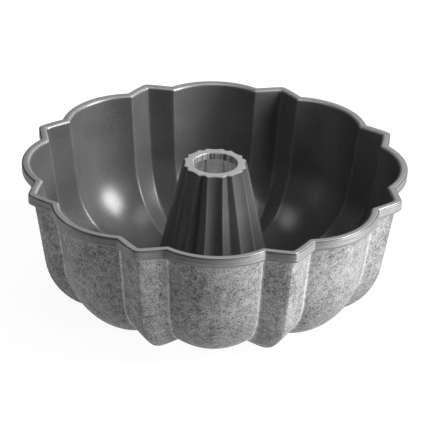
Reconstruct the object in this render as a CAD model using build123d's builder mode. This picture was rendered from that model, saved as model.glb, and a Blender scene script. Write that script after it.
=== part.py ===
"""Fluted ring cake pan: one aluminium casting with a non-stick coating on its baking side.

Millimetres, +Z up. The pan stands on the rounded tips of its ribs, open upwards. The
origin is on its axis, level with what it stands on, and a round lobe faces -Y.
"""
import os
from math import atan2, cos, degrees, radians, sin, tan

from build123d import *

# ---------------------------------------------------------------- driving dimensions
LOBES = 8                   # round lobes, with a pointed rib between each two

# The inside surface is set by three lines that run from the top of the tube, down and
# under, to the rim: the corner between lobe and rib, the middle of a lobe, and the tip
# of a rib. The corners give the sizes, and lobes and ribs stand out from them.
RIM_RADIUS = 118.7          # corners, in the plane of the rim's top
LOBE_RIM_BULGE = 7.4        # lobe middle outside the corners at the rim
RIB_RIM_BULGE = 9.3         # rib tip outside the corners at the rim
RIB_RIM_HALF_WIDTH = 16.4   # from a rib's tip line to its corner, along the rim

CORNER_DRAFT = 7.2          # degrees that the wall leans from upright
LOBE_DRAFT = 9.5
RIB_DRAFT = 8.5

FLOOR_RADIUS = 67.5         # the ring on which the trough is deepest
DEPTH = 89.5                # rim to floor, at the corners
LOBE_FLOOR_BULGE = 5.2      # lobe middle below the corners at the floor
RIB_FLOOR_BULGE = 8.1       # rib tip below the corners at the floor

TUBE_RADIUS = 21.8          # corners, on top of the tube
LOBE_FLUTE = 1.5            # wide flute's depth inside the corners
RIB_FLUTE = 2.1             # narrow flute's depth inside the corners
RIB_TUBE_HALF_WIDTH = 3.26  # from a narrow flute's middle to its corner
CORNER_TUBE_DRAFT = 12.65
LOBE_TUBE_DRAFT = 11.3
RIB_TUBE_DRAFT = 10.7

WALL = 2.4                  # cast wall, measured square to the surface
RIB_TIP_ROUND = 2.6         # outside rounding along each rib's tip

RIM_WIDTH = 5.3             # flat top of the rim, square to its inner edge
RIM_HEIGHT = 7.2            # upright band below it
RIM_TOP_ROUND = 0.8         # its outside edge, on top
RIM_UNDER_ROUND = 1.6       # and underneath

TUBE_TOP_THICKNESS = 5.0    # bored plate that closes the tube
BORE_DIAMETER = 30.0
BORE_CHAMFER = 0.6

COATING = 0.25              # film thickness as modelled
LOBE_SECTIONS = 5           # sections that each lobe's surface passes through

# ---------------------------------------------------------------- worked-out geometry
PITCH = 360 / LOBES         # degrees from one lobe to the next
LOBE_AZIMUTH = -90
RIB_AZIMUTH = LOBE_AZIMUTH + PITCH / 2

lobe_rim_radius = RIM_RADIUS + LOBE_RIM_BULGE
rib_rim_radius = RIM_RADIUS + RIB_RIM_BULGE
rib_depth = DEPTH + RIB_FLOOR_BULGE

# The plane of a corner line passes through its point on the rim and its point on the
# tube's top, both measured from the rib's own middle plane.
corner_rim_reach = (RIM_RADIUS**2 - RIB_RIM_HALF_WIDTH**2) ** 0.5
corner_tube_reach = (TUBE_RADIUS**2 - RIB_TUBE_HALF_WIDTH**2) ** 0.5
corner_turn = degrees(
    atan2(RIB_RIM_HALF_WIDTH - RIB_TUBE_HALF_WIDTH, corner_rim_reach - corner_tube_reach)
)
corner_side = RIB_TUBE_HALF_WIDTH * cos(radians(corner_turn)) - corner_tube_reach * sin(
    radians(corner_turn)
)

# How the rim turns at a rib's tip and at a corner sets how far a mitred edge moves.
rib_face_lean = atan2(rib_rim_radius - corner_rim_reach, RIB_RIM_HALF_WIDTH)
rib_half_angle = atan2(RIB_RIM_HALF_WIDTH, corner_rim_reach)
lobe_half_angle = radians(PITCH / 2) - rib_half_angle
lobe_half_chord = RIM_RADIUS * sin(lobe_half_angle)
lobe_rise = lobe_rim_radius - RIM_RADIUS * cos(lobe_half_angle)
lobe_end_lean = 2 * atan2(lobe_rise, lobe_half_chord)
corner_lean = (rib_face_lean - rib_half_angle + lobe_end_lean - lobe_half_angle) / 2

# The pan's height, from the ribs' outside tips to the rim's top face. Rounding a tip draws
# it back, by more where the two faces of the rib lean further over on the floor.
rib_mitre = 1 / cos(rib_face_lean)
corner_mitre = 1 / cos(corner_lean)
floor_half_width = FLOOR_RADIUS * tan(radians(corner_turn)) + corner_side
floor_rise = RIB_FLOOR_BULGE + WALL * (rib_mitre - corner_mitre)
floor_mitre = 1 / cos(atan2(floor_rise, floor_half_width))
rim_z = rib_depth + WALL * rib_mitre - RIB_TIP_ROUND * (floor_mitre - 1)

# ---------------------------------------------------------------- guide lines


class GuideLine:
    """One line of the inside surface, seen in the upright plane that holds it."""

    def __init__(self, tube_radius, tube_draft, depth, rim_radius, draft, mitre=1.0):
        self.tube_radius = tube_radius
        self.tube_draft = tube_draft
        self.depth = depth
        self.rim_radius = rim_radius
        self.draft = draft
        self.mitre = mitre

    def blended(self, other, share):
        """This line moved towards another by a share of the way."""
        mix = lambda mine, theirs: mine + (theirs - mine) * share
        return GuideLine(
            mix(self.tube_radius, other.tube_radius),
            mix(self.tube_draft, other.tube_draft),
            mix(self.depth, other.depth),
            mix(self.rim_radius, other.rim_radius),
            mix(self.draft, other.draft),
            mix(self.mitre, other.mitre),
        )

    def moved_out(self, distance):
        """The same line, moved away from the hollow by a distance square to itself."""
        reach = distance * self.mitre
        return GuideLine(
            self.tube_radius - reach / cos(radians(self.tube_draft)),
            self.tube_draft,
            self.depth + reach,
            self.rim_radius + reach / cos(radians(self.draft)),
            self.draft,
            self.mitre,
        )


def bend_radius(run, depth, draft):
    """Radius of the bend that is level at the floor and runs into a wall of this draft."""
    lean = radians(draft)
    return (run - depth * tan(lean)) * cos(lean) / (1 - sin(lean))


def trough_face(plane, line, top=0.0):
    """Closed section of the trough: tube side, two bends, wall, and a level top."""
    tube_lean = radians(line.tube_draft)
    wall_lean = radians(line.draft)
    tube_bend = bend_radius(FLOOR_RADIUS - line.tube_radius, line.depth, line.tube_draft)
    wall_bend = bend_radius(line.rim_radius - FLOOR_RADIUS, line.depth, line.draft)
    tube_top = (line.tube_radius - top * tan(tube_lean), top)
    wall_top = (line.rim_radius + top * tan(wall_lean), top)
    floor = (FLOOR_RADIUS, -line.depth)
    tube_foot = (
        FLOOR_RADIUS - tube_bend * cos(tube_lean),
        tube_bend - line.depth - tube_bend * sin(tube_lean),
    )
    wall_foot = (
        FLOOR_RADIUS + wall_bend * cos(wall_lean),
        wall_bend - line.depth - wall_bend * sin(wall_lean),
    )
    with BuildSketch(plane) as section:
        with BuildLine():
            Line(tube_top, tube_foot)
            TangentArc(floor, tube_foot, tangent=(-1, 0))
            TangentArc(floor, wall_foot, tangent=(1, 0))
            Line(wall_foot, wall_top)
            Line(wall_top, tube_top)
        make_face()
    return section.sketch


def upright_plane(azimuth, side=0.0):
    """Upright plane with X outwards at an azimuth and Y up from the rim's top face."""
    out = Vector(1, 0, 0).rotate(Axis.Z, azimuth)
    across = Vector(0, 1, 0).rotate(Axis.Z, azimuth)
    return Plane(origin=across * side + Vector(0, 0, rim_z), x_dir=out, z_dir=-across)


corner_line = GuideLine(
    TUBE_RADIUS,
    CORNER_TUBE_DRAFT,
    DEPTH,
    RIM_RADIUS,
    CORNER_DRAFT,
    corner_mitre,
)
lobe_line = GuideLine(
    TUBE_RADIUS - LOBE_FLUTE,
    LOBE_TUBE_DRAFT,
    DEPTH + LOBE_FLOOR_BULGE,
    lobe_rim_radius,
    LOBE_DRAFT,
)
rib_line = GuideLine(
    TUBE_RADIUS - RIB_FLUTE,
    RIB_TUBE_DRAFT,
    rib_depth,
    rib_rim_radius,
    RIB_DRAFT,
    rib_mitre,
)


def lobe_sections(distance, top):
    """Sections of the lobe that faces -Y, fanned from one corner to the other."""
    for step in range(LOBE_SECTIONS):
        across = 2 * step / (LOBE_SECTIONS - 1) - 1
        turn = (PITCH / 2 - corner_turn) * across
        line = corner_line.blended(lobe_line, 1 - across**2).moved_out(distance)
        yield trough_face(upright_plane(LOBE_AZIMUTH + turn, -corner_side * across), line, top)


def rib_sections(distance, top):
    """Sections of the rib next to that lobe: corner, tip, corner."""
    for across in (-1, 0, 1):
        line = rib_line if across == 0 else corner_line
        plane = upright_plane(RIB_AZIMUTH + corner_turn * across, corner_side * across)
        yield trough_face(plane, line.moved_out(distance), top)


def is_outside_tip(edge):
    """Whether an edge of the rib runs along its tip under the floor or up the wall."""
    plane = upright_plane(RIB_AZIMUTH)
    points = [plane.to_local_coords(edge @ share) for share in (0.1, 0.5, 0.9)]
    in_plane = all(abs(point.Z) < 1e-4 for point in points)
    below_rim = points[1].Y < -RIM_HEIGHT / 2
    return in_plane and below_rim and points[1].X > FLOOR_RADIUS


def trough(distance, top=0.0, tip_round=0.0):
    """The whole trough as a solid ring, its skin moved out by a distance."""
    with BuildPart() as lobe:
        loft(list(lobe_sections(distance, top)))
    with BuildPart() as rib:
        loft(list(rib_sections(distance, top)), ruled=True)
        if tip_round:
            fillet(rib.edges().filter_by(is_outside_tip), tip_round)
    with BuildPart() as ring:
        with PolarLocations(0, LOBES):
            add(lobe.part)
            add(rib.part)
    return ring.part


def rim_outline(margin):
    """The rim's inner edge seen from above, moved out by a margin."""
    corner = Vector(RIM_RADIUS, 0)
    lobe_start = corner.rotate(Axis.Z, LOBE_AZIMUTH - degrees(lobe_half_angle))
    lobe_middle = Vector(lobe_rim_radius, 0).rotate(Axis.Z, LOBE_AZIMUTH)
    lobe_end = corner.rotate(Axis.Z, LOBE_AZIMUTH + degrees(lobe_half_angle))
    rib_tip = Vector(rib_rim_radius, 0).rotate(Axis.Z, RIB_AZIMUTH)
    with BuildSketch() as outline:
        with BuildLine():
            for step in range(LOBES):
                start, middle, end, tip, following = [
                    point.rotate(Axis.Z, step * PITCH)
                    for point in (
                        lobe_start,
                        lobe_middle,
                        lobe_end,
                        rib_tip,
                        lobe_start.rotate(Axis.Z, PITCH),
                    )
                ]
                ThreePointArc(start, middle, end)
                Polyline(end, tip, following)
        make_face()
        if margin:
            offset(amount=margin, kind=Kind.ARC)
    return outline.sketch


# ---------------------------------------------------------------- rim band
# A plain band around the rim, made on its own so that its edges can be rounded.
with BuildPart() as rim_band:
    with BuildSketch(Plane.XY.offset(rim_z - RIM_HEIGHT)):
        add(rim_outline(RIM_WIDTH))
    extrude(amount=RIM_HEIGHT)
    fillet(rim_band.edges().group_by(Axis.Z)[0], RIM_UNDER_ROUND)
    fillet(rim_band.edges().group_by(Axis.Z)[-1], RIM_TOP_ROUND)
    with BuildSketch(Plane.XY.offset(rim_z - RIM_HEIGHT)):
        Circle(FLOOR_RADIUS)
    extrude(amount=RIM_HEIGHT, mode=Mode.SUBTRACT)

# ---------------------------------------------------------------- aluminium casting
hollow = trough(0)

with BuildPart() as pan_casting:
    add(trough(WALL, tip_round=RIB_TIP_ROUND))
    add(rim_band.part)
    with BuildSketch(Plane.XY.offset(rim_z - TUBE_TOP_THICKNESS)):
        Circle(TUBE_RADIUS + TUBE_TOP_THICKNESS)
    extrude(amount=TUBE_TOP_THICKNESS)
    add(hollow, mode=Mode.SUBTRACT)
    with BuildSketch(Plane.XY.offset(rim_z)):
        Circle(BORE_DIAMETER / 2)
    extrude(amount=-TUBE_TOP_THICKNESS, mode=Mode.SUBTRACT)
    top_circles = pan_casting.edges().filter_by(GeomType.CIRCLE).group_by(Axis.Z)[-1]
    bore_mouth = top_circles.filter_by(lambda edge: abs(edge.radius - BORE_DIAMETER / 2) < 1e-4)
    chamfer(bore_mouth, BORE_CHAMFER)
pan_casting.part.label = "pan_casting"

# ---------------------------------------------------------------- non-stick coating
# A film over the hollow's whole surface and the flat of the rim. The tube's machined
# top and the outside stay bare.
with BuildPart() as nonstick_coating:
    add(hollow)
    with BuildSketch(Plane.XY.offset(rim_z)):
        add(rim_outline(RIM_WIDTH - RIM_TOP_ROUND))
        Circle(FLOOR_RADIUS, mode=Mode.SUBTRACT)
    extrude(amount=COATING)
    add(trough(-COATING, top=COATING), mode=Mode.SUBTRACT)
nonstick_coating.part.label = "nonstick_coating"

# ---------------------------------------------------------------- files
os.makedirs("parts", exist_ok=True)
export_step(pan_casting.part, "parts/pan_casting.step")
export_step(nonstick_coating.part, "parts/nonstick_coating.step")
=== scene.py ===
"""Fluted ring cake pan in cast aluminium with a dark non-stick inside, on a pale studio floor.

Lengths are metres. The pan's two pieces are closed surfaces worked out on grids: columns
run round the pan, and rows run round its cross-section.
"""
from math import cos, pi, radians, sin

import bpy
import numpy as np
from mathutils import Matrix, Vector


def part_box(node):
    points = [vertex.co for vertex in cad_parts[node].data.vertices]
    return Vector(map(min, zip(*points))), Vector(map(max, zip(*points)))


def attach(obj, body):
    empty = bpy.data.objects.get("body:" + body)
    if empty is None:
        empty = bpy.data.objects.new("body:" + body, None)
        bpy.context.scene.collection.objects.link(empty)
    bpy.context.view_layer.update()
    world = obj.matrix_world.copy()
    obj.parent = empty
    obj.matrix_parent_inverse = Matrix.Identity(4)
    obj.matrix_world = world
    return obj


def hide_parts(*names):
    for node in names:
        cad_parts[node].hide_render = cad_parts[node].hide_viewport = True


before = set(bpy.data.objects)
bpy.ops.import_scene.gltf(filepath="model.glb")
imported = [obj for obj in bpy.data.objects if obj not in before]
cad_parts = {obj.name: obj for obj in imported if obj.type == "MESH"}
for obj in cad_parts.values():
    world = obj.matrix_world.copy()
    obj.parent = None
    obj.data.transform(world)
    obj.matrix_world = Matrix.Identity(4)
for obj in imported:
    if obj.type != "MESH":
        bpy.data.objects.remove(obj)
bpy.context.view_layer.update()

MM = 0.001
casting_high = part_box("pan_casting")[1]
film_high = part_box("nonstick_coating")[1]

# ---------------------------------------------------------------- the pan's sizes
LOBES = 8
PITCH = 2 * pi / LOBES
RIM_Z = casting_high.z
FILM = film_high.z - casting_high.z

WALL = 2.4 * MM
RIM_WIDTH = 5.3 * MM
RIM_HEIGHT = 7.2 * MM
RIM_MOUTH_ROUND = 1.9 * MM      # inside edge of the rim
RIM_TOP_ROUND = 0.8 * MM
RIM_UNDER_ROUND = 1.6 * MM
ARMPIT = 0.9 * MM               # inside rounding under the rim band
FLOOR_RADIUS = 67.5 * MM        # ring on which the trough is deepest
BORE_RADIUS = 15.0 * MM
BORE_CHAMFER = 0.6 * MM
TUBE_TOP_THICKNESS = 5.0 * MM
PLATE_FILLET = 1.5 * MM         # inside rounding under the tube's top
RING_EDGE = 0.35 * MM           # broken edge of the bare ring on top of the tube
FILM_SEAT = 0.04 * MM           # how far the film's underside lies in the metal

RIM_CORNER_HALF_WIDTH = 16.4 * MM    # half the width of a rib at the rim
JOINT_CORNER_HALF_WIDTH = 7.0 * MM   # and where the tube meets the floor
TUBE_CORNER_HALF_WIDTH = 3.26 * MM   # and on top of the tube
JOINT_RADIUS = 35.0 * MM             # inside which the tube pinches the ribs
PINCH_POWER = 1.5                    # how steeply the pinch grows inwards
PINCH_LIMIT = 1.3                    # where it stops growing, 1 being the tube's top


class GuideLine:
    """One line of the inside surface, from the tube's top, under the trough, to the rim.

    Radii are at the rim's height, depth is the deepest point below it, and the drafts are
    how far tube and wall lean from upright. Mitre is how much further than the wall's
    thickness a line moves when the surface is moved out by that thickness.
    """

    def __init__(self, tube_radius, tube_draft, depth, rim_radius, draft, mitre):
        self.tube_radius = tube_radius * MM
        self.tube_draft = radians(tube_draft)
        self.depth = depth * MM
        self.rim_radius = rim_radius * MM
        self.draft = radians(draft)
        self.mitre = mitre


CORNER = GuideLine(21.8, 12.65, 89.5, 118.7, 7.2, 1.108)
LOBE = GuideLine(20.3, 11.3, 94.7, 126.1, 9.5, 1.0)
RIB = GuideLine(19.7, 10.7, 97.6, 128.0, 8.5, 1.186)


# ---------------------------------------------------------------- rows of the cross-section
# Places along a guide line, in the measure that curve_row explains.
BELOW_RING = 0.03       # first row of the casting's baking side below the bare ring
FILM_START = 0.012      # first row of the film below the ring
BELOW_PLATE = 0.12      # last row of the tube's hollow below the plate's fillet
BELOW_MOUTH = 3.93      # last row of the wall below the rim's mouth
BELOW_BAND = 3.84       # first row of the outside below the rim's band


def curve_row(line, along, out):
    """Radius and height on a guide line moved out by a distance.

    Along runs 0 to 1 down the tube, 1 to 2 round the bend at the tube's foot, 2 to 3 round
    the bend at the wall's foot and 3 to 4 up the wall. Each bend is the circle that is
    level at the floor and runs into the straight at its draft.
    """
    reach = out * line.mitre
    tube_radius = line.tube_radius - reach / np.cos(line.tube_draft)
    rim_radius = line.rim_radius + reach / np.cos(line.draft)
    depth = line.depth + reach

    def bend(run, draft):
        return (run - depth * np.tan(draft)) * np.cos(draft) / (1 - np.sin(draft))

    tube_bend = bend(FLOOR_RADIUS - tube_radius, line.tube_draft)
    wall_bend = bend(rim_radius - FLOOR_RADIUS, line.draft)
    tube_turn = (pi / 2 - line.tube_draft) * np.clip(2 - along, 0, 1)
    wall_turn = (pi / 2 - line.draft) * np.clip(along - 2, 0, 1)
    radius = FLOOR_RADIUS - tube_bend * np.sin(tube_turn) + wall_bend * np.sin(wall_turn)
    height = tube_bend * (1 - np.cos(tube_turn)) + wall_bend * (1 - np.cos(wall_turn)) - depth
    up_tube = np.clip(1 - along, 0, 1)
    up_wall = np.clip(along - 3, 0, 1)
    tube_foot = height.copy()
    height = height - tube_foot * (up_tube + up_wall)
    radius = radius + tube_foot * up_tube * np.tan(line.tube_draft)
    radius = radius - tube_foot * up_wall * np.tan(line.draft)
    return radius, height


def level_row(line, side, height, out):
    """Radius on the tube's side (-1) or the wall (+1) at a height below the rim."""
    reach = out * line.mitre
    wall = line.rim_radius + height * np.tan(line.draft) + reach / np.cos(line.draft)
    tube = line.tube_radius - height * np.tan(line.tube_draft) - reach / np.cos(line.tube_draft)
    return np.where(side > 0, wall, tube), height


def plumb_row(line, side, height, out):
    """As level_row, for the rim's upright band."""
    return line.rim_radius + out * line.mitre + 0 * height, height


class Section:
    """Rows of a closed cross-section, gathered stretch by stretch.

    Every row has a radius and a height on each guide line. A row's round share says how far
    it is drawn from the fluted outline to a true circle.
    """

    def __init__(self):
        self.rows = {line: ([], []) for line in (CORNER, LOBE, RIB)}
        self.out = []
        self.round_share = []
        self.round_radius = []
        self.finish = []

    def add(self, place, first, second, out, finish, round_share=0.0, round_radius=0.0):
        """One stretch of rows. First and second are what the placing function asks for."""
        shape = np.broadcast(first, second, out, round_share, round_radius).shape or (1,)
        first, second, out, round_share, round_radius = [
            np.broadcast_to(np.asarray(value, float), shape)
            for value in (first, second, out, round_share, round_radius)
        ]
        for line, (radii, heights) in self.rows.items():
            if place is curve_row:
                radius, height = curve_row(line, first, out)
            else:
                radius, height = place(line, first, second, out)
            radii.append(radius)
            heights.append(height)
        self.out.append(out)
        self.round_share.append(round_share)
        self.round_radius.append(round_radius)
        self.finish.append(np.full(shape, finish))

    def joined(self, line):
        """Radius and height of every row on one guide line, as columns of a grid."""
        radii, heights = self.rows[line]
        return np.concatenate(radii)[:, None], np.concatenate(heights)[:, None]

    def column(self, name):
        """One of the other per-row values, as a column of a grid."""
        return np.concatenate(getattr(self, name))[:, None]


def eased(start, end, count):
    """Values from start to end, closer together towards both ends."""
    share = (1 - np.cos(np.linspace(0, pi, count))) / 2
    return start + (end - start) * share


def even(start, end, count):
    """Evenly spaced values from start to end, without the last."""
    return np.linspace(start, end, count, endpoint=False)


def quarter(count):
    """Angles from nought to a right angle."""
    return np.linspace(0, pi / 2, count)


# ---------------------------------------------------------------- the fluted surface
RIB_COLUMNS = 18         # round one rib
LOBE_COLUMNS = 26        # round one lobe
TIP_SOFTNESS = 0.8 * MM  # half the width over which a rib's tip is rounded
TIP_GROWTH = 0.17        # and how that grows as the surface is moved out
CORNER_SOFTNESS = 0.5 * MM
TUBE_SHARE = 0.45        # share of both softnesses that is left on top of the tube
CREASE_REACH = 0.6 * MM  # how far the mark along a corner spreads


def ring_columns():
    """Middle azimuth, place from corner to corner (-1 to 1) and kind of every column."""
    half_rib = eased(-1, 0, RIB_COLUMNS // 2 + 1)[:-1]
    rib = np.concatenate([half_rib, [0.0], -half_rib[:0:-1]])
    lobe = eased(-1, 1, LOBE_COLUMNS + 1)[:-1]
    place = np.concatenate([rib, lobe])
    is_rib = np.concatenate([np.ones(rib.size), np.zeros(lobe.size)])
    middle = np.where(is_rib > 0, PITCH / 2, PITCH) - pi / 2
    turn = np.arange(LOBES)[:, None] * PITCH
    return (
        (middle[None, :] + turn).ravel()[None, :],
        np.tile(place, LOBES)[None, :],
        np.tile(is_rib, LOBES)[None, :],
    )


def above_zero(value, softness):
    """The larger of value and nought, with the change of slope rounded off."""
    return (value + np.sqrt(value**2 + softness**2)) / 2


def nearby(distance, reach):
    """One where a distance is nought, falling away over a reach as a bell curve."""
    return np.exp(-((distance / reach) ** 2))


def corner_half_width(radius):
    """Half the width of a rib at a radius: a straight taper, pinched on the tube."""
    slope = (RIM_CORNER_HALF_WIDTH - JOINT_CORNER_HALF_WIDTH) / (CORNER.rim_radius - JOINT_RADIUS)
    taper = RIM_CORNER_HALF_WIDTH + slope * (radius - CORNER.rim_radius)
    tube_taper = RIM_CORNER_HALF_WIDTH + slope * (CORNER.tube_radius - CORNER.rim_radius)
    inward = np.clip((JOINT_RADIUS - radius) / (JOINT_RADIUS - CORNER.tube_radius), 0, PINCH_LIMIT)
    return taper - (tube_taper - TUBE_CORNER_HALF_WIDTH) * inward**PINCH_POWER


def fluted_grid(section):
    """Points of the pan's fluted surface, rows by columns, and how near each is to a corner.

    Every row starts as the ring through the corners, with a straight chord across each
    rib. Towards a rib's middle it moves in proportion to the nearness of the tip, which
    makes two flat faces, and towards a lobe's middle with a square law, which makes a round
    lobe. Rounded maxima blend the faces into each other.
    """
    middle, place, is_rib = ring_columns()
    corner_radius, corner_height = section.joined(CORNER)
    lobe_radius, lobe_height = section.joined(LOBE)
    rib_radius, rib_height = section.joined(RIB)
    out = section.column("out")
    half_width = corner_half_width(corner_radius)
    rib_half = np.arcsin(half_width / corner_radius)
    lobe_half = PITCH / 2 - rib_half
    azimuth = middle + place * np.where(is_rib > 0, rib_half, lobe_half)
    from_rib = np.where(is_rib > 0, np.abs(place) * rib_half, PITCH / 2 - np.abs(place) * lobe_half)

    off_tube = (corner_radius - CORNER.tube_radius) / (FLOOR_RADIUS - CORNER.tube_radius)
    share_left = TUBE_SHARE + (1 - TUBE_SHARE) * np.clip(off_tube, 0, 1)
    corner_softness = CORNER_SOFTNESS * share_left
    tip_softness = (TIP_SOFTNESS * share_left + TIP_GROWTH * np.maximum(out, 0)) / half_width
    across_rib = np.tan(from_rib) / np.tan(rib_half)
    to_tip = above_zero(
        1 - np.sqrt(across_rib**2 + tip_softness**2), corner_softness / half_width
    )
    across_lobe = (PITCH / 2 - from_rib) / lobe_half
    half_chord = corner_radius * np.sin(lobe_half)
    lobe_softness = 2 * corner_softness / half_chord
    to_lobe = above_zero(1 - across_lobe**2, lobe_softness) / above_zero(1, lobe_softness)

    chord_angle = rib_half - above_zero(rib_half - from_rib, corner_softness / corner_radius)
    ring = corner_radius * np.cos(rib_half) / np.cos(chord_angle)
    radius = ring + to_tip * (rib_radius - corner_radius * np.cos(rib_half))
    radius = radius + to_lobe * (lobe_radius - corner_radius)
    height = corner_height + to_tip * (rib_height - corner_height)
    height = height + to_lobe * (lobe_height - corner_height)
    share = section.column("round_share")
    radius = radius + (section.column("round_radius") - radius) * share
    points = np.stack(
        [radius * np.cos(azimuth), radius * np.sin(azimuth), height + RIM_Z + 0 * radius], axis=-1
    )
    gap = np.abs(from_rib - rib_half) * radius
    nearness = nearby(gap, CREASE_REACH) * (1 - share)
    return points, nearness


def closed_mesh(name, points, values, finish, materials):
    """A mesh from a grid that closes on itself both ways. Values are point attributes."""
    rows, columns = points.shape[:2]
    index = np.arange(rows * columns).reshape(rows, columns)
    below = np.roll(index, -1, axis=0)
    quads = np.stack(
        [index, below, np.roll(below, -1, axis=1), np.roll(index, -1, axis=1)], axis=-1
    ).reshape(-1, 4)
    mesh = bpy.data.meshes.new(name)
    mesh.from_pydata(points.reshape(-1, 3), [], quads)
    mesh.polygons.foreach_set("use_smooth", np.ones(len(quads), bool))
    mesh.polygons.foreach_set("material_index", np.repeat(finish, columns).astype(np.int32))
    for attribute, value in values.items():
        layer = mesh.attributes.new(attribute, "FLOAT", "POINT")
        layer.data.foreach_set("value", value.ravel().astype(np.float32))
    for material in materials:
        mesh.materials.append(material)
    mesh.update()
    piece = bpy.data.objects.new(name, mesh)
    bpy.context.scene.collection.objects.link(piece)
    return piece


AS_CAST, TURNED = 0, 1      # finishes of the casting's rows


def casting_section():
    """Rows of the casting: ring, baking side, rim, outside, hollow of the tube, and bore."""
    section = Section()
    arc = quarter(9)
    section.add(level_row, -1, 0, RING_EDGE, TURNED, even(1, 0, 14), BORE_RADIUS + BORE_CHAMFER)
    edge = quarter(4)
    section.add(
        level_row, -1, -RING_EDGE * (1 - np.cos(edge)), RING_EDGE * (1 - np.sin(edge)), TURNED
    )
    section.add(curve_row, even(BELOW_RING, 1, 22), 0, 0, AS_CAST)
    section.add(curve_row, even(1, 2, 22), 0, 0, AS_CAST)
    section.add(curve_row, even(2, 3, 30), 0, 0, AS_CAST)
    section.add(curve_row, even(3, BELOW_MOUTH, 16), 0, 0, AS_CAST)
    mouth = RIM_MOUTH_ROUND
    section.add(level_row, 1, -mouth * (1 - np.sin(arc)), mouth * (1 - np.cos(arc)), AS_CAST)
    flat_end = RIM_WIDTH - RIM_TOP_ROUND
    section.add(plumb_row, 1, 0, even(mouth, flat_end, 5)[1:], AS_CAST)
    section.add(
        plumb_row,
        1,
        -RIM_TOP_ROUND * (1 - np.cos(arc)),
        flat_end + RIM_TOP_ROUND * np.sin(arc),
        AS_CAST,
    )
    face_end = RIM_HEIGHT - RIM_UNDER_ROUND
    section.add(plumb_row, 1, -even(RIM_TOP_ROUND, face_end, 6)[1:], RIM_WIDTH, AS_CAST)
    section.add(
        plumb_row,
        1,
        -face_end - RIM_UNDER_ROUND * np.sin(arc),
        RIM_WIDTH - RIM_UNDER_ROUND * (1 - np.cos(arc)),
        AS_CAST,
    )
    section.add(
        level_row,
        1,
        -RIM_HEIGHT - ARMPIT * (1 - np.cos(arc)),
        WALL + ARMPIT * (1 - np.sin(arc)),
        AS_CAST,
    )
    section.add(curve_row, even(BELOW_BAND, 3, 20), 0, WALL, AS_CAST)
    section.add(curve_row, even(3, 2, 34), 0, WALL, AS_CAST)
    section.add(curve_row, even(2, 1, 22), 0, WALL, AS_CAST)
    section.add(curve_row, even(1, BELOW_PLATE, 20), 0, WALL, AS_CAST)
    section.add(
        level_row,
        -1,
        -TUBE_TOP_THICKNESS - PLATE_FILLET * (1 - np.sin(arc)),
        WALL + PLATE_FILLET * (1 - np.cos(arc)),
        AS_CAST,
    )
    plate_end = WALL + PLATE_FILLET
    inward = even(0, 1, 6)[1:]
    section.add(level_row, -1, -TUBE_TOP_THICKNESS, plate_end, AS_CAST, inward, BORE_RADIUS)
    section.add(
        level_row, -1, even(-TUBE_TOP_THICKNESS, -BORE_CHAMFER, 8), 0, TURNED, 1, BORE_RADIUS
    )
    section.add(
        level_row,
        -1,
        even(-BORE_CHAMFER, 0, 4),
        0,
        TURNED,
        1,
        BORE_RADIUS + even(0, BORE_CHAMFER, 4),
    )
    return section


def film_section():
    """Rows of the coating: its open face from tube to rim, then back along the metal."""
    section = Section()
    arc = quarter(9)
    mouth = RIM_MOUTH_ROUND
    flat_end = RIM_WIDTH - RIM_TOP_ROUND
    section.add(level_row, -1, 0, -FILM, 0)
    section.add(curve_row, even(FILM_START, 1, 44), 0, -FILM, 0)
    section.add(curve_row, even(1, 2, 36), 0, -FILM, 0)
    section.add(curve_row, even(2, 3, 44), 0, -FILM, 0)
    section.add(curve_row, even(3, BELOW_MOUTH, 24), 0, -FILM, 0)
    face_round = mouth + FILM
    section.add(
        level_row,
        1,
        FILM - face_round * (1 - np.sin(arc)),
        face_round * (1 - np.cos(arc)) - FILM,
        0,
    )
    section.add(plumb_row, 1, FILM, even(mouth, flat_end - FILM, 7)[1:], 0)
    edge = quarter(5)
    section.add(plumb_row, 1, FILM * np.cos(edge), flat_end - FILM * (1 - np.sin(edge)), 0)
    section.add(plumb_row, 1, -FILM_SEAT, even(flat_end, mouth, 4), 0)
    section.add(
        level_row,
        1,
        -FILM_SEAT - mouth * (1 - np.cos(arc)),
        mouth * (1 - np.sin(arc)) + FILM_SEAT,
        0,
    )
    section.add(curve_row, even(BELOW_MOUTH, 3, 10), 0, FILM_SEAT, 0)
    section.add(curve_row, even(3, 2, 20), 0, FILM_SEAT, 0)
    section.add(curve_row, even(2, 1, 16), 0, FILM_SEAT, 0)
    section.add(curve_row, even(1, FILM_START, 14), 0, FILM_SEAT, 0)
    section.add(level_row, -1, -RING_EDGE, FILM_SEAT, 0)
    return section


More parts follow.
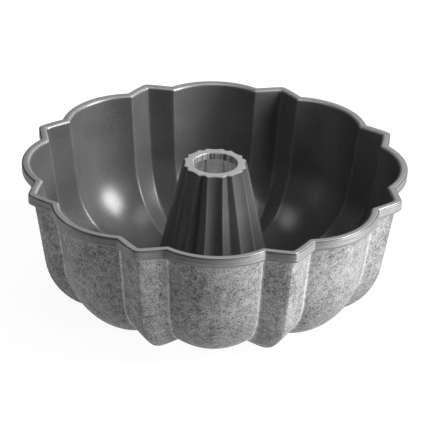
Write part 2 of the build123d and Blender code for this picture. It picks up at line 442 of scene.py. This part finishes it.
# ---------------------------------------------------------------- materials
class Finish:
    """A new material and short ways to add and join its nodes."""

    def __init__(self, name):
        self.material = bpy.data.materials.new(name)
        self.material.use_nodes = True
        self.tree = self.material.node_tree
        self.shader = self.tree.nodes["Principled BSDF"]

    def add(self, kind, inputs=(), **settings):
        """A node of a kind with its settings, and its inputs by name or number."""
        made = self.tree.nodes.new("ShaderNode" + kind)
        for setting, value in settings.items():
            setattr(made, setting, value)
        for place, value in dict(inputs).items():
            self.join(made.inputs[place], value)
        return made

    def join(self, socket, value):
        """Sets a socket to a number or colour, or links a node's output to it."""
        if isinstance(value, bpy.types.NodeSocket):
            self.tree.links.new(value, socket)
        elif isinstance(value, bpy.types.Node):
            self.tree.links.new(value.outputs[0], socket)
        else:
            socket.default_value = value

    def position(self, stretch=(1, 1, 1)):
        """Object coordinates in metres, scaled along each axis."""
        place = self.add("TexCoord").outputs["Object"]
        return self.add("Mapping", {"Vector": place, "Scale": stretch})

    def noise(self, per_metre, detail=2.0, roughness=0.5, where=None, distortion=0.0):
        """Fractal noise with a number of features per metre."""
        values = {
            "Vector": where or self.position(),
            "Scale": per_metre,
            "Detail": detail,
            "Roughness": roughness,
            "Distortion": distortion,
        }
        return self.add("TexNoise", values).outputs["Fac"]

    def ranged(self, value, low, high, to_low=0.0, to_high=1.0):
        """A value stretched from one range to another, and held inside it."""
        values = {0: value, 1: low, 2: high, 3: to_low, 4: to_high}
        return self.add("MapRange", values, clamp=True).outputs[0]

    def maths(self, operation, first, second=0.0):
        """One sum on one or two values."""
        return self.add("Math", {0: first, 1: second}, operation=operation).outputs[0]

    def blended(self, first, first_share, second, second_share):
        """Two values added together by their shares."""
        first_part = self.maths("MULTIPLY", first, first_share)
        second_part = self.maths("MULTIPLY", second, second_share)
        return self.maths("ADD", first_part, second_part)

    def mixed(self, share, first, second):
        """A colour between two, by a share."""
        made = self.add("Mix", {0: share, 6: first, 7: second}, data_type="RGBA")
        return made.outputs[2]

    def attribute(self, name):
        """A value stored on the mesh's points."""
        return self.add("Attribute", attribute_name=name).outputs["Fac"]

    def bumped(self, height, depth, strength):
        """A surface direction that follows a height of this depth in metres."""
        values = {"Height": height, "Distance": depth, "Strength": strength}
        return self.add("Bump", values).outputs[0]

    def shade(self, **values):
        """Sets the shader's sockets, where an underscore stands for a space."""
        for name, value in values.items():
            self.join(self.shader.inputs[name.replace("_", " ")], value)
        return self.material


def grey(level):
    """A neutral colour."""
    return (level, level, level, 1.0)


def cast_aluminium():
    """Rough cast skin: mottled, pitted and grainy, with corner lines of wear and painted highlight.

    The rim's band is smoother, with level streaks and a dark upper edge of painted shade, and
    the hollow of the tube is made paler with painted light.
    """
    finish = Finish("cast aluminium")
    blotch = finish.noise(38, detail=3, roughness=0.6, distortion=0.4)
    mottle = finish.noise(210, detail=5, roughness=0.72)
    grain = finish.noise(900, detail=2.5, roughness=0.65)
    worms = finish.noise(560, detail=2, roughness=0.5, distortion=1.6)
    pit_depth = finish.ranged(blotch, 0.35, 0.65, 0.47, 0.4)
    pitted = finish.ranged(worms, finish.maths("SUBTRACT", pit_depth, 0.06), pit_depth, 1.0, 0.0)
    tone = finish.maths(
        "ADD", finish.ranged(mottle, 0.34, 0.66, 0, 0.5), finish.ranged(grain, 0.38, 0.62, 0, 0.5)
    )
    tone = finish.maths("ADD", tone, finish.ranged(blotch, 0.3, 0.7, -0.12, 0.12))
    skin = finish.mixed(tone, grey(0.032), grey(0.195))
    skin = finish.mixed(finish.maths("MULTIPLY", pitted, 0.8), skin, grey(0.014))
    # Painted light: the hollow of the tube is made paler, for light that reaches it from above.
    painted_hollow_light = finish.maths("MULTIPLY", finish.attribute("painted_hollow_light"), 0.7)
    skin = finish.mixed(painted_hollow_light, skin, finish.mixed(tone, grey(0.5), grey(0.8)))

    streak = finish.noise(60, detail=4, roughness=0.65, where=finish.position((0.35, 0.35, 16)))
    band = finish.attribute("band")
    band_skin = finish.mixed(finish.ranged(streak, 0.32, 0.68), grey(0.038), grey(0.115))
    skin = finish.mixed(finish.maths("MULTIPLY", band, 0.85), skin, band_skin)
    # Painted shade: a dark line along the band's upper edge, for shade and dark reflection on its
    # rounding.
    painted_edge_shade = finish.maths("MULTIPLY", finish.attribute("painted_edge_shade"), 0.6)
    skin = finish.mixed(painted_edge_shade, skin, grey(0.02))
    # Bright lines along the outside corners: partly burnished wear, partly painted highlight. The
    # line under the band is painted highlight.
    patchy = finish.ranged(mottle, 0.3, 0.6, 0.4, 1)
    wear_and_highlight = finish.maths("MULTIPLY", finish.attribute("wear_and_highlight_lines"), patchy)
    skin = finish.mixed(finish.maths("MULTIPLY", wear_and_highlight, 0.45), skin, grey(0.5))

    dull = finish.ranged(tone, 0, 1, 0.66, 0.5)
    dull = finish.maths("SUBTRACT", dull, finish.maths("MULTIPLY", band, 0.06))
    dull = finish.maths("SUBTRACT", dull, finish.maths("MULTIPLY", wear_and_highlight, 0.18))
    rough = finish.maths("ADD", finish.maths("MULTIPLY", grain, 0.5), mottle)
    rough = finish.maths("SUBTRACT", rough, finish.maths("MULTIPLY", pitted, 0.6))
    calm = finish.maths("SUBTRACT", 1.0, finish.maths("MULTIPLY", band, 0.6))
    normal = finish.bumped(finish.maths("MULTIPLY", rough, calm), 0.11 * MM, 0.9)
    return finish.shade(Base_Color=skin, Metallic=0.62, Roughness=dull, Normal=normal)


def turned_aluminium():
    """Bare machined metal: fine turning rings on top, and upright chatter in the bore."""
    finish = Finish("turned aluminium")
    flat = finish.add("VectorMath", {0: finish.position(), 1: (1, 1, 0)}, operation="MULTIPLY")
    reach = finish.add("VectorMath", {0: flat}, operation="LENGTH").outputs["Value"]
    marks = finish.add(
        "TexNoise", {"W": reach, "Scale": 2600.0, "Detail": 3.0}, noise_dimensions="1D"
    ).outputs["Fac"]
    stain = finish.noise(240, detail=4, roughness=0.6)
    chatter = finish.noise(850, detail=1.5, roughness=0.6, where=finish.position((1, 1, 0.02)))
    tone = finish.blended(marks, 0.6, stain, 0.4)
    ring_skin = finish.mixed(finish.ranged(tone, 0.3, 0.7), grey(0.27), grey(0.4))
    bore_skin = finish.mixed(finish.ranged(chatter, 0.36, 0.64), grey(0.05), grey(0.44))
    skin = finish.mixed(finish.attribute("bore"), ring_skin, bore_skin)
    relief = finish.blended(marks, 0.5, stain, 0.5)
    normal = finish.bumped(relief, 0.02 * MM, 0.6)
    dull = finish.ranged(stain, 0.3, 0.7, 0.46, 0.56)
    return finish.shade(Base_Color=skin, Metallic=0.4, Roughness=dull, Normal=normal)


def nonstick():
    """Satin dark grey film with faint peel and speckle; painted light on the rim, painted edge
    highlights.
    """
    finish = Finish("non-stick film")
    peel = finish.noise(900, detail=2, roughness=0.6)
    cloud = finish.noise(45, detail=3, roughness=0.55)
    speck = finish.noise(1500, detail=1, roughness=0.5)
    tone = finish.blended(peel, 0.6, cloud, 0.4)
    skin = finish.mixed(finish.ranged(tone, 0.3, 0.7), grey(0.074), grey(0.116))
    glint = finish.ranged(speck, 0.62, 0.72, 0.0, 0.5)
    skin = finish.mixed(glint, skin, grey(0.2))
    # Painted light: the film on top of the rim is made paler, for the light that falls on it from
    # above.
    rim = finish.attribute("rim")
    skin = finish.mixed(finish.maths("MULTIPLY", rim, 0.8), skin, grey(0.15))
    # Painted highlight: a bright line round the rim's mouth and fainter ones along the inside
    # ridges.
    patchy = finish.ranged(cloud, 0.3, 0.6, 0.6, 1)
    painted_highlight = finish.maths("MULTIPLY", finish.attribute("painted_highlight"), patchy)
    skin = finish.mixed(finish.maths("MULTIPLY", painted_highlight, 0.55), skin, grey(0.5))
    dull = finish.ranged(cloud, 0.3, 0.7, 0.3, 0.36)
    normal = finish.bumped(peel, 0.03 * MM, 0.6)
    return finish.shade(Base_Color=skin, Metallic=0.22, Roughness=dull, Normal=normal)


def studio_floor():
    """Seamless paper that glows near white over a dark base, so that it shows little shadow."""
    finish = Finish("pale paper")
    fleck = finish.noise(9, detail=3)
    skin = finish.mixed(finish.ranged(fleck, 0.3, 0.7), grey(0.12), grey(0.14))
    return finish.shade(
        Base_Color=skin, Roughness=0.9, Emission_Color=grey(1.0), Emission_Strength=0.93
    )


# ---------------------------------------------------------------- the pan
BAND_MARGIN = 0.3 * MM          # how far the band's finish runs below it
UNDER_HIGHLIGHT_DROP = 0.5 * MM      # painted highlight line under the band: its middle below the band
UNDER_HIGHLIGHT_REACH = 0.4 * MM     # and its spread
EDGE_SHADE_REACH = 0.9 * MM            # painted shade along the band's upper edge
PAINTED_LIGHT_RADIUS = 45.0 * MM       # inside which the hollow of the tube is made paler with painted light
PAINTED_LIGHT_FADE = 12.0 * MM
RIM_FADE = 1.2 * MM             # depth below the rim over which the painted light on the rim's top fades
MOUTH_LINE_DROP = 0.35 * MM     # painted highlight line round the mouth: its middle below the rim
MOUTH_LINE_REACH = 0.45 * MM    # and its spread
RIDGE_HIGHLIGHT = 0.22               # strength of the painted highlight on the inside ridges, against the mouth


def build_casting():
    """The cast body. Attributes: wear and highlight lines, band, painted shade and light, and bore.
    """
    section = casting_section()
    points, nearness = fluted_grid(section)
    outside = np.broadcast_to(section.column("out") > WALL / 2, nearness.shape)
    below = RIM_Z - points[..., 2]
    radius = np.hypot(points[..., 0], points[..., 1])
    on_wall = radius > FLOOR_RADIUS
    on_band = (below < RIM_HEIGHT + BAND_MARGIN) & on_wall
    # Painted highlight: a bright line along the rounding under the band.
    painted_under_band_highlight = nearby(below - RIM_HEIGHT - UNDER_HIGHLIGHT_DROP, UNDER_HIGHLIGHT_REACH) * on_wall
    values = {
        "wear_and_highlight_lines": np.maximum(nearness * ~on_band, painted_under_band_highlight) * outside,
        "band": on_band * 1.0,
        "painted_edge_shade": on_band * nearby(below, EDGE_SHADE_REACH),
        "painted_hollow_light": outside * np.clip((PAINTED_LIGHT_RADIUS - radius) / PAINTED_LIGHT_FADE, 0, 1),
        "bore": np.clip((BORE_RADIUS + BORE_CHAMFER - radius) / BORE_CHAMFER, 0, 1) * (below > 0),
    }
    materials = [cast_aluminium(), turned_aluminium()]
    body = closed_mesh("pan_body", points, values, np.concatenate(section.finish), materials)
    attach(body, "root")
    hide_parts("pan_casting")


def build_coating():
    """The film. Its attributes say where light is painted on the rim and highlights on mouth and
    ridges.
    """
    section = film_section()
    points, nearness = fluted_grid(section)
    height = points[..., 2] - RIM_Z
    on_wall = np.hypot(points[..., 0], points[..., 1]) > FLOOR_RADIUS
    # Painted highlight along the mouth and the inside ridges.
    ridge = nearness * (height < -RIM_MOUTH_ROUND)
    painted_highlight = nearby(height + MOUTH_LINE_DROP, MOUTH_LINE_REACH) * on_wall
    values = {
        "rim": np.clip((height + RIM_FADE) / (RIM_FADE + FILM), 0, 1) * on_wall,
        "painted_highlight": np.maximum(painted_highlight, RIDGE_HIGHLIGHT * ridge),
    }
    coating = closed_mesh("coating", points, values, np.concatenate(section.finish), [nonstick()])
    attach(coating, "root")
    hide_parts("nonstick_coating")


build_casting()
build_coating()


# ---------------------------------------------------------------- studio
def plane_piece(name, corners, material):
    """A flat four-cornered sheet."""
    mesh = bpy.data.meshes.new(name)
    mesh.from_pydata(corners, [], [(0, 1, 2, 3)])
    mesh.materials.append(material)
    piece = bpy.data.objects.new(name, mesh)
    bpy.context.scene.collection.objects.link(piece)
    return piece


FLOOR_REACH = 6.0
floor = plane_piece(
    "floor",
    [
        (-FLOOR_REACH, -FLOOR_REACH, 0),
        (FLOOR_REACH, -FLOOR_REACH, 0),
        (FLOOR_REACH, FLOOR_REACH, 0),
        (-FLOOR_REACH, FLOOR_REACH, 0),
    ],
    studio_floor(),
)


def softbox(name, azimuth, elevation, distance, width, height, power, aim=Vector((0, 0, 0.05))):
    """A rectangular lamp aimed at the pan. Azimuth is from -Y towards +X, in degrees."""
    turn, lift = radians(azimuth), radians(elevation)
    away = Vector((sin(turn) * cos(lift), -cos(turn) * cos(lift), sin(lift)))
    lamp = bpy.data.lights.new(name, "AREA")
    lamp.shape = "RECTANGLE"
    lamp.size, lamp.size_y = width, height
    lamp.energy = power
    holder = bpy.data.objects.new(name, lamp)
    holder.matrix_world = Matrix.Translation(aim + away * distance) @ away.to_track_quat(
        "Z", "Y"
    ).to_matrix().to_4x4()
    bpy.context.scene.collection.objects.link(holder)


# The low lamps are level with the outside and stay under the rim, so they don't light the inside.
# Name, azimuth, elevation, distance, width, height, power.
softbox("key", 80, 36, 1.5, 0.75, 0.75, 37)
softbox("shoulder", 84, 20, 1.6, 0.7, 0.25, 16)
softbox("side", 66, 0, 1.6, 0.5, 0.085, 101)
softbox("low left", -84, 0, 1.6, 0.6, 0.085, 10)
softbox("back", 168, 34, 1.8, 1.2, 0.6, 4)
softbox("top", -30, 80, 1.6, 0.8, 0.8, 5.5)
softbox("fill", -66, 20, 2.0, 1.2, 1.0, 2.4)

world = bpy.data.worlds.new("studio")
world.use_nodes = True
background = world.node_tree.nodes["Background"]
background.inputs["Color"].default_value = grey(1.0)
background.inputs["Strength"].default_value = 0.045
bpy.context.scene.world = world
bpy.context.scene.view_settings.view_transform = "Standard"

# ---------------------------------------------------------------- camera
CAMERA_AZIMUTH = radians(-0.851)     # from -Y towards +X, about the middle of the rim
CAMERA_ELEVATION = radians(27.351)
CAMERA_DISTANCE = 1.3848
CAMERA_YAW = radians(0.036)          # the view's middle, off the middle of the rim
CAMERA_PITCH = radians(-1.471)
CAMERA_ROLL = radians(1.466)
SENSOR = 36.0
LENS = 170.19


def camera_frame():
    """Where the camera stands and its right, up and backward directions."""
    place = CAMERA_DISTANCE * Vector(
        (
            sin(CAMERA_AZIMUTH) * cos(CAMERA_ELEVATION),
            -cos(CAMERA_AZIMUTH) * cos(CAMERA_ELEVATION),
            sin(CAMERA_ELEVATION),
        )
    )
    ahead = -place.normalized()
    right = ahead.cross(Vector((0, 0, 1))).normalized()
    up = right.cross(ahead)
    ahead = (
        ahead * cos(CAMERA_YAW) * cos(CAMERA_PITCH)
        + right * sin(CAMERA_YAW) * cos(CAMERA_PITCH)
        + up * sin(CAMERA_PITCH)
    )
    right = ahead.cross(up).normalized()
    up = right.cross(ahead)
    turned = right * cos(CAMERA_ROLL) + up * sin(CAMERA_ROLL)
    up = up * cos(CAMERA_ROLL) - right * sin(CAMERA_ROLL)
    return place + Vector((0, 0, RIM_Z)), turned, up, -ahead


place, right, up, back = camera_frame()
lens = bpy.data.cameras.new("camera")
lens.sensor_width = SENSOR
lens.lens = LENS
camera = bpy.data.objects.new("camera", lens)
turn = Matrix((right, up, back)).transposed()
camera.matrix_world = Matrix.Translation(place) @ turn.to_4x4()
bpy.context.scene.collection.objects.link(camera)
bpy.context.scene.camera = camera
